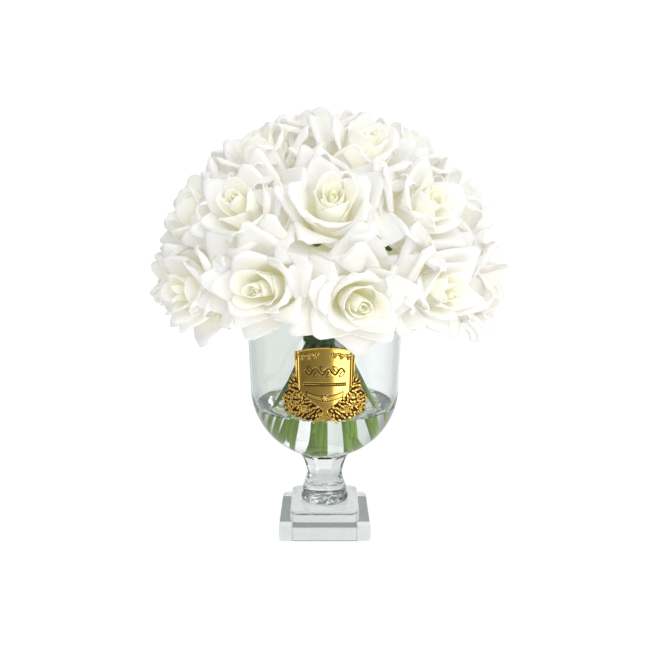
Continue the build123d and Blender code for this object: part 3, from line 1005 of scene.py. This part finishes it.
def build_floor():
    """A pale round floor, dimmer through glass and in reflections, so that clear edges show."""
    material, tree, output = new_material("floor_pale")
    cloud = noise(tree, object_coordinates(tree), 0.8, 2.0)
    tone = ramp(tree, cloud, [(0.3, (0.93, 0.93, 0.93)), (0.7, (0.95, 0.95, 0.95))])
    path = tree.nodes.new("ShaderNodeLightPath")
    by_glass = calculate(tree, "ADD", path.outputs["Is Transmission Ray"], path.outputs["Is Glossy Ray"])
    shader = add_node(
        tree,
        "ShaderNodeBsdfPrincipled",
        Base_Color=mix_colour(tree, by_glass, tone, (0.62, 0.63, 0.63)),
        Roughness=0.9,
        Emission_Color=mix_colour(tree, by_glass, WHITE, (0.62, 0.62, 0.62)),
        Emission_Strength=0.45,
    )
    tree.links.new(shader.outputs["BSDF"], output.inputs["Surface"])
    corners = 96
    angles = np.arange(corners) * 2 * math.pi / corners
    outline = [(FLOOR_RADIUS * math.cos(a), FLOOR_RADIUS * math.sin(a), 0) for a in angles]
    floor = make_object("floor", outline, [tuple(range(corners))], [material], smooth=False)


def build_studio():
    """The room: even light for matt surfaces, and grey tones and a soft box for glass and gold to reflect."""
    world = bpy.data.worlds.new("studio")
    bpy.context.scene.world = world
    world.use_nodes = True
    tree = world.node_tree
    tree.nodes.clear()
    output = tree.nodes.new("ShaderNodeOutputWorld")
    coordinates = tree.nodes.new("ShaderNodeTexCoord")
    split = add_node(tree, "ShaderNodeSeparateXYZ", Vector=coordinates.outputs["Generated"])
    x, y = split.outputs["X"], split.outputs["Y"]
    across = add_node(tree, "ShaderNodeMapRange", Value=x, From_Min=-1.0, From_Max=1.0)
    behind = ramp(tree, across.outputs["Result"], BACKDROP_TONES)
    before = ramp(tree, across.outputs["Result"], SOFTBOX_TONES)
    front = add_node(tree, "ShaderNodeMapRange", Value=y, From_Min=0.15, From_Max=-0.15)
    shade = mix_colour(tree, front.outputs["Result"], behind, before)
    depth = add_node(
        tree,
        "ShaderNodeMapRange",
        Value=y,
        From_Min=-1.0,
        From_Max=1.0,
        To_Min=ROOM_FRONT,
        To_Max=ROOM_BEHIND,
    )
    falloff = calculate(tree, "MULTIPLY_ADD", calculate(tree, "ABSOLUTE", x), -ROOM_SIDE_LOSS, 1.0)
    strength = calculate(tree, "MULTIPLY", depth.outputs["Result"], falloff)
    reflected, even, white = (
        add_node(tree, "ShaderNodeBackground", Color=colour, Strength=light).outputs["Background"]
        for colour, light in ((shade, 1.0), ((*WHITE, 1), strength), ((*WHITE, 1), ROOM_SEEN))
    )
    path = tree.nodes.new("ShaderNodeLightPath")
    matt = mix_shaders(tree, path.outputs["Is Diffuse Ray"], reflected, even)
    seen = mix_shaders(tree, path.outputs["Is Camera Ray"], matt, white)
    tree.links.new(seen, output.inputs["Surface"])


def add_sun(name, azimuth, elevation, strength, angle):
    """A soft distant lamp. Azimuth is where it stands, counted from the front towards +X."""
    data = bpy.data.lights.new(name, "SUN")
    data.energy = strength
    data.angle = math.radians(angle)
    lamp = bpy.data.objects.new(name, data)
    a, e = math.radians(azimuth), math.radians(elevation)
    towards = Vector((math.sin(a) * math.cos(e), -math.cos(a) * math.cos(e), math.sin(e)))
    lamp.rotation_euler = towards.to_track_quat("Z", "Y").to_euler()
    bpy.context.collection.objects.link(lamp)


def build_stage():
    """A pale floor, soft lamps and an even sky."""
    build_floor()
    build_studio()
    add_sun("key", azimuth=16, elevation=42, strength=0.6, angle=60)
    add_sun("fill", azimuth=-60, elevation=30, strength=0.1, angle=60)
    add_sun("back", azimuth=170, elevation=50, strength=0.1, angle=50)
    bpy.context.scene.view_settings.view_transform = "Standard"


# ---------------------------------------------------------------- build
make_camera()
build_stage()

crystal = glass_material("crystal_glass", (0.975, 0.985, 0.98), 30.0, 0.08)
resin = glass_material("clear_resin", (0.98, 0.99, 0.98), 40.0, 0.25)
bonded = bonded_material()
glue = glue_material()
petals = petal_material()
green = stem_material()

resin_level = box_mm("resin_water")[1][2]
build_bowl(crystal, bonded, resin_level)
build_resin(resin, bonded, resin_level)
dress("square_foot", pressed_material())
dress_pedestal(crystal, bonded, glue)
build_glue("foot_bond", "foot_glue", glue, 0.04)
build_glue("bowl_bond", "bowl_glue", bonded, 0.02)
build_badge(gilt_material())
dress("badge_pad", foam_material())
dress("stem_tie", tape_material())
for number in range(1, ROSE_COUNT + 1):
    dress(f"stem_{number:02d}", green)
    build_rose(number, petals, green)
